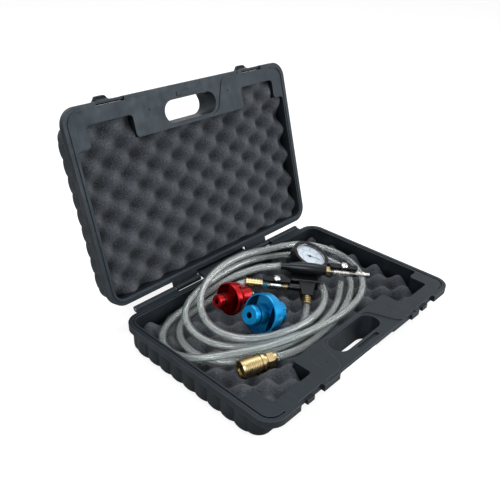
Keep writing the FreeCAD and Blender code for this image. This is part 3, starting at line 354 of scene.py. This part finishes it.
def foam_finish():
    """Open-cell foam: dark pores and pale specks, with painted light that makes the crests paler where they stand
    up.
    """
    dark, pale = (0.0065, 0.0080, 0.0108), (0.058, 0.065, 0.076)
    f = Finish("foam", dark, 1.0, **{"Specular IOR Level": 0.1, "Sheen Weight": 0.12, "Sheen Roughness": 0.6})
    crest = f.tree.nodes.new("ShaderNodeAttribute")
    crest.attribute_name = "crest"
    # painted light: the crest attribute makes the crests paler and the pits darker
    height = f.level(crest.outputs["Fac"], 0, 1, start=0, end=1)
    in_pores = f.blend(height, scaled(dark, 0.6), scaled(pale, 0.6))
    on_skin = f.blend(height, scaled(dark, 1.6), scaled(pale, 1.45))
    pores = f.level(f.cloud(size_mm=1.5, detail=4), 0, 1, start=0.40, end=0.62)
    specks = f.level(f.cloud(size_mm=0.9), 0, 0.6, start=0.60, end=0.68)
    f.feed(f.blend(specks, f.blend(pores, in_pores, on_skin), scaled(pale, 2.4)), "Base Color")
    f.relief(f.cloud(size_mm=1.1, detail=4), depth_mm=0.6, strength=0.8)
    return f.material


def clear_plastic():
    """Soft clear tube, a little milky."""
    f = Finish("clear_hose", (0.93, 0.97, 0.965), 0.1,
               **{"Transmission Weight": 0.92, "IOR": 1.36, "Coat Weight": 0.3, "Coat Roughness": 0.08})
    f.feed(f.level(f.cloud(size_mm=25), 0.08, 0.16), "Roughness")
    return f.material


def lens_finish():
    """The gauge's thin clear window."""
    f = Finish("lens", (0.97, 0.98, 1.0), 0.03, **{"Transmission Weight": 1.0, "IOR": 1.2})
    f.feed(f.level(f.cloud(size_mm=15), 0.02, 0.06), "Roughness")
    return f.material


FINISHES = {
    # the case plastic gets strong painted edge highlights and painted shade near the foam and in corners
    "case_plastic": moulded("case_plastic", (0.0105, 0.0130, 0.0160), 0.44, edge_mm=1.3, edge_highlight=8.0,
                            scratches=0.6, crease_shade=0.12,
                            **{"Specular IOR Level": 0.26, "Specular Tint": (0.72, 0.88, 1.0, 1.0)}),
    "black_plastic": moulded("black_plastic", (0.0045, 0.0047, 0.0052), 0.22, edge_mm=0.4,
                             **{"Specular IOR Level": 0.28, "Specular Tint": (0.8, 0.9, 1.0, 1.0)}),
    "black_rubber": moulded("black_rubber", (0.0042, 0.0044, 0.0048), 0.27, edge_mm=0.9, grain_depth=0.02,
                            **{"Specular IOR Level": 0.2}),
    "teal_plastic": moulded("teal_plastic", (0.008, 0.11, 0.17), 0.32, edge_mm=0.3),
    "brass": machined("brass", (0.53, 0.41, 0.21), 0.29),
    "nickel": machined("nickel", (0.50, 0.49, 0.48), 0.24),
    "chrome": machined("chrome", (0.60, 0.60, 0.62), 0.16),
    "steel": machined("steel", (0.42, 0.42, 0.44), 0.3),
    # the last colour of each anodised finish is its painted edge highlight
    "blue_anodised": anodised("blue_anodised", (0.003, 0.26, 0.58), 0.32, (0.04, 0.48, 0.82)),
    "red_anodised": anodised("red_anodised", (0.40, 0.003, 0.006), 0.30, (0.72, 0.03, 0.04)),
    "dial": moulded("dial", (0.50, 0.55, 0.60), 0.42, edge_mm=0.1, edge_highlight=1.0, grain_depth=0.004),
    "needle_black": moulded("needle_black", (0.02, 0.02, 0.022), 0.4, edge_mm=0.1),
    "foam": foam_finish(),
    "lens": lens_finish(),
    "clear_hose": clear_plastic(),
}
for part in frame["record"]["subparts"]:
    for slot in nodes[part["node"]].material_slots:
        slot.material = FINISHES[part["material_slot"]]


# ---------------------------------------------------------------- hoses

HOSE_RADIUS, HOSE_WALL = 5.0 * MM, 1.5 * MM
CONNECTION_HOSE = [
    (23, -0.8, 21.8), (5.5, -14, 19), (-17, -22.5, 16.8), (-46, -22, 16.3), (-75, -12, 16.3),
    (-101, 4, 17), (-120, 24, 19), (-129, 51, 22), (-125, 79, 27), (-107, 100, 33), (-78, 109, 39),
    (-45, 110.8, 44), (-9, 110.8, 46.5), (29, 110, 43), (64, 108, 35), (98, 102, 27),
    (126, 86, 23), (142, 58, 21.5), (142, 26, 20.5), (124, -3, 20), (93, -25, 17.5),
    (55, -39, 16), (14, -47.5, 16), (-28, -51, 16), (-62, -50.5, 18.5), (-90, -42.8, 22.5)]
FILL_HOSE = [
    (-5.9, 85.9, 32.2), (-23, 98.2, 27.4), (-51, 102.8, 19.4), (-82, 102.5, 15.8), (-111, 99, 15.6),
    (-134, 83, 15.6), (-147, 59, 15.6), (-149, 31, 15.6), (-139, 5, 15.6), (-119, -13, 15.6),
    (-92, -25, 15.6), (-61, -31.5, 15.6), (-27, -36, 15.6), (12, -36, 15.8), (49, -29, 16.5),
    (80, -15, 19), (103, 1, 22)]
DRAIN_HOSE = [
    (43.1, 64.4, 47.3), (26, 82, 46), (3, 96, 41), (-23, 106, 35.5), (-53, 110.8, 27.5),
    (-85, 110.8, 21), (-117, 109.5, 18.5), (-146, 99, 17), (-166, 77, 17), (-171, 50, 19.5),
    (-161, 24, 22.5), (-141, 4, 26.5), (-114, -12, 27), (-86, -26, 27), (-57, -35.5, 27),
    (-26, -44, 27), (8, -49, 27), (42, -51, 26.5), (76, -47, 26), (108, -35, 25), (137, -13, 24),
    (158, 15, 23), (167, 48, 23.5), (160, 80, 26), (137, 103, 31), (106, 111, 37), (73, 109, 45),
    (41, 110, 53), (7, 110.8, 59), (-26, 110, 59.5), (-54, 107, 55), (-79, 97, 48),
    (-98, 81, 41), (-110, 61, 36), (-114, 37, 33), (-107, 13, 31), (-89, -6, 29), (-63, -19, 28),
    (-30, -28, 27.5), (4, -29, 27), (36, -19, 25.5), (60, -4, 25), (70, 9, 25.2)]


def hose(name, node, route):
    """A clear tube on one smooth line, with its real wall and bore."""
    line = bpy.data.curves.new(name, "CURVE")
    line.dimensions = "3D"
    line.resolution_u = 10
    line.bevel_depth = HOSE_RADIUS
    line.bevel_resolution = 5
    spline = line.splines.new("NURBS")
    spline.points.add(len(route) - 1)
    for point, spot in zip(spline.points, route):
        point.co = (*(Vector(spot) * MM), 1)
    spline.order_u = 3
    spline.use_endpoint_u = True
    spline.use_smooth = True
    tube = bpy.data.objects.new(name, line)
    scene.collection.objects.link(tube)
    line.materials.append(FINISHES["clear_hose"])
    skin = tube.modifiers.new("wall", "SOLIDIFY")
    skin.thickness, skin.offset = HOSE_WALL, -1
    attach(tube, "tester")
    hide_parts(node)


hose("connection_hose_tube", "connection_hose", CONNECTION_HOSE)
hose("fill_hose_tube", "fill_hose", FILL_HOSE)
hose("drain_hose_tube", "drain_hose", DRAIN_HOSE)


# ---------------------------------------------------------------- case measures

HINGE = Vector((0, 135.0, 37.6))
LID_ANGLE = math.radians(-105.7)
CLOSED_HEIGHT, SKIN = 78.0, 3.0
PLAY = 0.3
# the foam's outline: side and back walls, handle block, latch ledges and corner blocks
SIDE, BACK = 180.5 - PLAY, 116.7 - PLAY
BLOCK_X, BLOCK_Y = 95.5 + PLAY, -72.5 + PLAY
LEDGE_X, LEDGE_Y = 161.5 - PLAY, -101.5 + PLAY
CORNER_Y = -74.5 + PLAY
INNER_RADIUS = 11.7
OPEN_LID = (Matrix.Translation(HINGE * MM) @ Matrix.Rotation(LID_ANGLE, 4, "X")
            @ Matrix.Translation(-HINGE * MM) @ IN_METRES)


# ---------------------------------------------------------------- case ends

FLUTES, FLUTE_STEPS, FLUTE_ROWS = 9, 12, 24
FLUTE_FRONT, FLUTE_BACK = -88.0, 102.0
WALL_X, FOOT_RADIUS = 185.0, 8.0
FLUTE_SUNK, FLUTE_ROUND, FLUTE_RUN_OUT = 0.4, 0.6, 6.0    # dip between flutes, fullness, fade at the foot
FLUTE_SKIN, FLUTE_LIFT = 1.2, 0.2
BASE_FLUTE_HEIGHT, BASE_FLUTE_DEPTH = 31.0, 2.2
LID_FLUTE_HEIGHT, LID_FLUTE_DEPTH = 29.0, 1.3


def end_flutes(name, body, side, height, depth, place):
    """The row of upright scallops on a short wall, down round its foot."""
    mesh = bmesh.new()
    bmesh.ops.create_grid(mesh, x_segments=FLUTES * FLUTE_STEPS, y_segments=FLUTE_ROWS, size=0.5)
    turn, straight = FOOT_RADIUS * math.pi / 2, height - FOOT_RADIUS
    for vert in mesh.verts:
        along = (vert.co.x + 0.5) * FLUTES
        up = (vert.co.y + 0.5) * (turn + straight)
        bulge = math.sin(math.pi * (along % 1.0)) ** FLUTE_ROUND if 0 < along < FLUTES else 0.0
        out = -FLUTE_SUNK + (depth + FLUTE_SUNK) * bulge * min(1.0, up / FLUTE_RUN_OUT)
        angle = min(up / turn, 1.0) * math.pi / 2
        x = WALL_X - FOOT_RADIUS + (FOOT_RADIUS + out) * math.sin(angle)
        z = FOOT_RADIUS - (FOOT_RADIUS + out) * math.cos(angle) + max(0.0, up - turn)
        y = FLUTE_FRONT + along / FLUTES * (FLUTE_BACK - FLUTE_FRONT)
        vert.co = (side * x, y, max(z, FLUTE_LIFT))
    bmesh.ops.transform(mesh, matrix=place, verts=mesh.verts)
    turn_outwards(mesh, (place.to_3x3() @ Vector((side, 0, 0))).normalized())
    wall = smooth(linked(name, mesh, FINISHES["case_plastic"]), 50)
    skin = wall.modifiers.new("wall", "SOLIDIFY")
    skin.thickness, skin.offset = FLUTE_SKIN * MM, -1
    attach(wall, body)


UPSIDE_DOWN = Matrix.Translation((0, 0, CLOSED_HEIGHT + PLAY)) @ Matrix.Diagonal((1, 1, -1, 1))
for side, word in ((-1, "left"), (1, "right")):
    end_flutes(f"base_{word}_flutes", "base", side, BASE_FLUTE_HEIGHT, BASE_FLUTE_DEPTH, IN_METRES)
    end_flutes(f"lid_{word}_flutes", "lid", side, LID_FLUTE_HEIGHT, LID_FLUTE_DEPTH, OPEN_LID @ UPSIDE_DOWN)


# ---------------------------------------------------------------- latches

LATCH_CUTS = 16
LATCH_ROOT = 0.2           # share of the plate's reach, by the barrel, that stays as it is
LATCH_STRAIGHT = 0.36      # share of the half width, over the strike, whose edge stays straight
LATCH_ROUND = 0.34         # share of the reach by which the corners draw back
LATCH_INNER = -0.3 * MM    # the plate's inner face, from the pin
LIP_FADE = 3               # how fast the lip fades out beside the strike


def rounded_latch(side):
    """The latch plate with a rounded free edge, its lip fading out towards the corners."""
    node = f"latch_{side}"
    pin = Vector(joint_named(f"{node}_hinge")["pos_m"])
    mesh = bmesh.new()
    mesh.from_mesh(nodes[node].data)
    bmesh.ops.remove_doubles(mesh, verts=mesh.verts[:], dist=0.002 * MM)
    half = max(abs(vert.co.x - pin.x) for vert in mesh.verts)
    tip = max((vert.co for vert in mesh.verts), key=lambda co: (co - pin).yz.length)
    along = Vector((0, tip.y - pin.y, tip.z - pin.z))
    reach = along.length
    along.normalize()
    face = Vector((1, 0, 0)).cross(along)
    if face.dot(Vector((0, 0, 1))) < 0:
        face.negate()
    for i in range(1, LATCH_CUTS):
        cut = pin + Vector((half * (2 * i / LATCH_CUTS - 1), 0, 0))
        everything = mesh.verts[:] + mesh.edges[:] + mesh.faces[:]
        bmesh.ops.bisect_plane(mesh, geom=everything, dist=0.01 * MM, plane_co=cut, plane_no=(1, 0, 0))
    for vert in mesh.verts:
        out = (vert.co - pin).dot(along)
        if out < LATCH_ROOT * reach:
            continue
        across = abs(vert.co.x - pin.x) / half
        aside = max(0.0, across - LATCH_STRAIGHT) / (1 - LATCH_STRAIGHT)
        lip = max(0.0, (vert.co - pin).dot(face) - LATCH_INNER)
        vert.co -= along * out * LATCH_ROUND * out / reach * aside ** 2
        vert.co -= face * lip * min(1.0, LIP_FADE * aside)
    plate = smooth(linked(f"{node}_plate", mesh, FINISHES["case_plastic"]), 35)
    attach(plate, node)
    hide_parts(node)


for word in ("left", "right"):
    rounded_latch(word)


# ---------------------------------------------------------------- gauge print

PRINT_LIFT, PRINT_THICKNESS = 0.05, 0.06
DIAL_START, DIAL_SWEEP = math.radians(225), math.radians(-270)
SCALE_TOP, SCALE_RADIUS = 60, 21.0
NUMBER_STEP, NUMBER_RADIUS, NUMBER_SIZE = 10, 15.8, 3.8


def gauge_frame():
    """The dial's own frame: needle's rest along X, out of the glass along Z, millimetres to metres."""
    joint = joint_named("needle_turn")
    middle, out = Vector(joint["pos_m"]), Vector(joint["axis"]).normalized()
    needle = nodes["gauge_needle"].data.vertices
    tip = max((vert.co for vert in needle), key=lambda co: (co - middle).cross(out).length)
    along = (tip - middle).normalized()
    along = (along - out * along.dot(out)).normalized()
    face = max((vert.co - middle).dot(out) for vert in nodes["gauge_dial"].data.vertices)
    turned = Matrix((along, out.cross(along), out)).transposed().to_4x4()
    return Matrix.Translation(middle + out * (face + PRINT_LIFT * MM)) @ turned @ IN_METRES


def ink(name, colour, thin, thick):
    """Printing ink whose colour varies a little between thin and thick spots."""
    f = Finish(name, colour, 0.5)
    f.feed(f.blend(f.level(f.cloud(size_mm=0.5), 0, 1), thin, thick), "Base Color")
    return f.material


DIAL_FRAME = gauge_frame()
BLACK_INK = ink("ink", (0.02, 0.02, 0.025), (0.015, 0.015, 0.018), (0.035, 0.035, 0.04))
TEAL_INK = ink("teal_ink", (0.02, 0.30, 0.30), (0.02, 0.26, 0.26), (0.04, 0.36, 0.34))
RED_INK = ink("red_ink", (0.60, 0.03, 0.02), (0.50, 0.02, 0.02), (0.70, 0.05, 0.03))


def printed(item):
    """Print rides the gauge."""
    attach(item, "tester")


def dial_way(share):
    """The way from the dial's middle to a share of the scale."""
    angle = DIAL_START + DIAL_SWEEP * share
    return Vector((math.cos(angle), math.sin(angle), 0))


def dial_ticks(name, step, length, width):
    """Bars inside the scale's arc, step apart."""
    mesh = bmesh.new()
    for value in range(0, SCALE_TOP + 1, step):
        way = dial_way(value / SCALE_TOP)
        bar = bmesh.ops.create_cube(mesh, size=1.0)["verts"]
        turned = way.to_track_quat("X", "Z").to_matrix().to_4x4()
        place = Matrix.Translation(way * (SCALE_RADIUS - length / 2)) @ turned
        place @= Matrix.Diagonal((length, width, PRINT_THICKNESS, 1))
        bmesh.ops.transform(mesh, matrix=place, verts=bar)
    bmesh.ops.transform(mesh, matrix=DIAL_FRAME, verts=mesh.verts)
    printed(linked(name, mesh, BLACK_INK))


def dial_arc(name, finish, start, end, inner, width):
    """A printed band along the scale, from one share of it to another."""
    mesh = bmesh.new()
    way = dial_way(start)
    ends = [mesh.verts.new(way * inner), mesh.verts.new(way * (inner + width))]
    edge = mesh.edges.new(ends)
    bmesh.ops.spin(mesh, geom=[edge], cent=(0, 0, 0), axis=(0, 0, 1), angle=DIAL_SWEEP * (end - start),
                   steps=max(4, int(64 * (end - start))), use_merge=False)
    bmesh.ops.transform(mesh, matrix=DIAL_FRAME, verts=mesh.verts)
    turn_outwards(mesh, DIAL_FRAME.to_3x3() @ Vector((0, 0, 1)))
    printed(linked(name, mesh, finish))


def dial_number(value):
    """A plain number on the scale, as a thin solid."""
    letters = bpy.data.curves.new(f"figure_{value}", "FONT")
    letters.body, letters.size = str(value), NUMBER_SIZE
    letters.align_x, letters.align_y = "CENTER", "CENTER"
    letters.extrude = PRINT_THICKNESS / 2
    holder = bpy.data.objects.new(f"figure_{value}", letters)
    flat = bpy.data.meshes.new_from_object(holder)
    bpy.data.objects.remove(holder)
    mesh = bmesh.new()
    mesh.from_mesh(flat)
    place = DIAL_FRAME @ Matrix.Translation(dial_way(value / SCALE_TOP) * NUMBER_RADIUS)
    bmesh.ops.transform(mesh, matrix=place, verts=mesh.verts)
    printed(linked(f"dial_figure_{value}", mesh, BLACK_INK))


dial_ticks("dial_fine_ticks", step=1, length=1.4, width=0.16)
dial_ticks("dial_long_ticks", step=NUMBER_STEP, length=2.8, width=0.42)
dial_arc("dial_outer_line", BLACK_INK, start=0, end=1, inner=SCALE_RADIUS, width=0.22)
dial_arc("dial_teal_band", TEAL_INK, start=0, end=1, inner=12.2, width=0.8)
dial_arc("dial_red_band", RED_INK, start=0.06, end=0.22, inner=18.9, width=1.2)
for value in range(0, SCALE_TOP + 1, NUMBER_STEP):
    dial_number(value)


# ---------------------------------------------------------------- foam

FOAM_CELL = 2.0
CREST_PITCH = (41.8, 41.0)
CREST_WOBBLE, WOBBLE_SCALE = 0.16, 0.03
BASE_LOW, BASE_CREST = 6.0, 15.0
BASE_PHASE, BASE_TURN = (-135.0 - CREST_PITCH[0] / 2, -71.0), 0.0
LID_LOW, LID_CREST = 14.0, 13.0
LID_PHASE, LID_TURN = (95.3, 4.9), math.radians(2.7)
# the foam stands higher in the base's front left pocket and in the lid's two pockets
POCKET_X, POCKET_Y, POCKET_SLOPE = -80.0, -45.0, 15
POCKET_LIFT, POCKET_CREST = 7.0, 3.0
LID_POCKET_X, LID_POCKET_Y, LID_POCKET_SLOPE = 84.0, -62.0, 12
LID_POCKET_LIFT, LID_POCKET_FLAT = 9.0, 4.5
# how the base foam gives way under what lies on it
PRESS_STEP, PRESS_REACH = 3.0, 9.0
PRESS_FLAT, PRESS_SLOPE = 2.0, 1.3
PRESS_CLEAR, PRESS_EASE, OPEN_ROOM = 0.4, 3.0, 60.0
CREST_SHADE = 0.8          # share of the crest shading that follows the pressed height


def crest(x, y, phase, turn):
    """From 0 in a pit of the egg-crate face to 1 on a crest."""
    u = x * math.cos(turn) - y * math.sin(turn) - phase[0]
    v = x * math.sin(turn) + y * math.cos(turn) - phase[1]
    wave = math.cos(2 * math.pi * u / CREST_PITCH[0]) * math.cos(2 * math.pi * v / CREST_PITCH[1])
    wobble = CREST_WOBBLE * noise.noise(Vector((x, y, phase[0])) * WOBBLE_SCALE)
    return clamped(0.5 - 0.5 * wave + wobble)


def foam_grid():
    """A flat sheet cut to the case's inside outline."""
    mesh = bmesh.new()
    columns, rows = int(2 * SIDE / FOAM_CELL), int((BACK - LEDGE_Y) / FOAM_CELL)
    bmesh.ops.create_grid(mesh, x_segments=columns, y_segments=rows, size=1.0)
    middle, half = (BACK + LEDGE_Y) / 2, (BACK - LEDGE_Y) / 2
    stretch = Matrix.Translation((0, middle, 0)) @ Matrix.Diagonal((SIDE, half, 1, 1))
    bmesh.ops.transform(mesh, matrix=stretch, verts=mesh.verts)
    cuts = [((side * x, 0, 0), (1, 0, 0)) for side in (-1, 1) for x in (BLOCK_X, LEDGE_X)]
    cuts += [((0, y, 0), (0, 1, 0)) for y in (BLOCK_Y, CORNER_Y)]
    for spot, way in cuts:
        everything = mesh.verts[:] + mesh.edges[:] + mesh.faces[:]
        bmesh.ops.bisect_plane(mesh, geom=everything, dist=0.02, plane_co=spot, plane_no=way)
    outside = []
    for face in mesh.faces:
        x, y, _ = face.calc_center_median()
        if (abs(x) < BLOCK_X and y < BLOCK_Y) or (abs(x) > LEDGE_X and y < CORNER_Y):
            outside.append(face)
    bmesh.ops.delete(mesh, geom=outside, context="FACES")
    corner = Vector((SIDE - INNER_RADIUS, BACK - INNER_RADIUS))
    for vert in mesh.verts:
        out = Vector((abs(vert.co.x), vert.co.y)) - corner
        if out.x > 0 and out.y > 0:
            reach = max(out.x, out.y) / out.length
            spot = corner + out * reach
            vert.co.x, vert.co.y = math.copysign(spot.x, vert.co.x), spot.y
    return mesh


def foam_pad(name, node, body, height, floor, place):
    """Raises the sheet to its height, closes it down to its floor and puts it in place."""
    mesh = foam_grid()
    layer = mesh.verts.layers.float.new("crest")
    # each point's height, and in the crest layer the painted light on it
    for vert in mesh.verts:
        vert.co.z, vert[layer] = height(vert.co.x, vert.co.y)
    bmesh.ops.recalc_face_normals(mesh, faces=mesh.faces[:])
    rim = [edge for edge in mesh.edges if edge.is_boundary]
    skirt = bmesh.ops.extrude_edge_only(mesh, edges=rim)["geom"]
    for vert in (item for item in skirt if isinstance(item, bmesh.types.BMVert)):
        vert.co.z = floor
    bottom = [edge for edge in mesh.edges if edge.is_boundary]
    bmesh.ops.edgenet_fill(mesh, edges=bottom)
    bmesh.ops.triangulate(mesh, faces=[face for face in mesh.faces if len(face.verts) > 4])
    bmesh.ops.transform(mesh, matrix=place, verts=mesh.verts)
    bmesh.ops.recalc_face_normals(mesh, faces=mesh.faces[:])
    pad = smooth(linked(name, mesh, FINISHES["foam"]), 60)
    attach(pad, body)
    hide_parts(node)
    return pad


def contents_shape():
    """The tester, coupler, hoses and adapters as one shape, to feel for from below."""
    merged = bmesh.new()
    for node, item in nodes.items():
        if node.startswith(("case", "latch", "hinge", "base_foam", "lid_foam")):
            continue
        merged.from_mesh(item.data)
    shape = BVHTree.FromBMesh(merged)
    merged.free()
    return shape


def pressed_heights():
    """The room under the contents on a square grid, eased outwards as foam gives way."""
    shape, step = contents_shape(), PRESS_STEP
    free = {}
    columns, rows = int(SIDE / step) + 2, int(BACK / step) + 2
    for i in range(-columns, columns + 1):
        for j in range(-rows, rows + 1):
            hit = shape.ray_cast(Vector((i * step, j * step, 1.0)) * MM, Vector((0, 0, 1)), 0.2)[0]
            if hit is not None:
                free[i, j] = hit.z / MM
    eased = {}
    reach = int(PRESS_REACH / step)
    for (i, j), room in free.items():
        for a in range(-reach, reach + 1):
            for b in range(-reach, reach + 1):
                away = math.hypot(a, b) * step
                level = room + max(0.0, away - PRESS_FLAT) * PRESS_SLOPE
                if level < eased.get((i + a, j + b), math.inf):
                    eased[i + a, j + b] = level
    return eased


room_above = pressed_heights()


def base_height(x, y):
    """The base foam's top at a spot, pressed in by what lies there, and the painted light on it."""
    up = crest(x, y, BASE_PHASE, BASE_TURN)
    pocket = clamped((POCKET_X - x) / POCKET_SLOPE) * clamped((POCKET_Y - y) / POCKET_SLOPE)
    top = SKIN + BASE_LOW + POCKET_LIFT * pocket + (BASE_CREST + POCKET_CREST * pocket) * up
    u, v = x / PRESS_STEP, y / PRESS_STEP
    i, j = math.floor(u), math.floor(v)
    a, b = u - i, v - j
    room = 0.0
    for di, dj, share in ((0, 0, (1 - a) * (1 - b)), (1, 0, a * (1 - b)), (0, 1, (1 - a) * b), (1, 1, a * b)):
        room += share * room_above.get((i + di, j + dj), OPEN_ROOM)
    free = room - PRESS_CLEAR - PRESS_EASE
    if top > free:
        top = free + PRESS_EASE * (1 - math.exp((free - top) / PRESS_EASE))
    # the second value is painted light: paler the higher the foam stands
    return top, clamped((top - SKIN - BASE_LOW) / BASE_CREST) * CREST_SHADE + (1 - CREST_SHADE) * up


def lid_height(x, y):
    """The lid foam's face at a spot, with the lid closed, and the painted light on it."""
    up = crest(x, y, LID_PHASE, LID_TURN)
    inwards, forwards = abs(x) - LID_POCKET_X, LID_POCKET_Y - y
    pocket = clamped(inwards / LID_POCKET_SLOPE) * clamped(forwards / LID_POCKET_SLOPE)
    thick = LID_LOW + LID_POCKET_LIFT * pocket + (LID_CREST - LID_POCKET_FLAT * pocket) * up
    return CLOSED_HEIGHT - SKIN - thick, up


foam_pad("base_foam_pad", "base_foam", "base", base_height, SKIN, IN_METRES)
lid_pad = foam_pad("lid_foam_pad", "lid_foam", "lid", lid_height, CLOSED_HEIGHT - SKIN, OPEN_LID)
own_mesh(lid_pad)
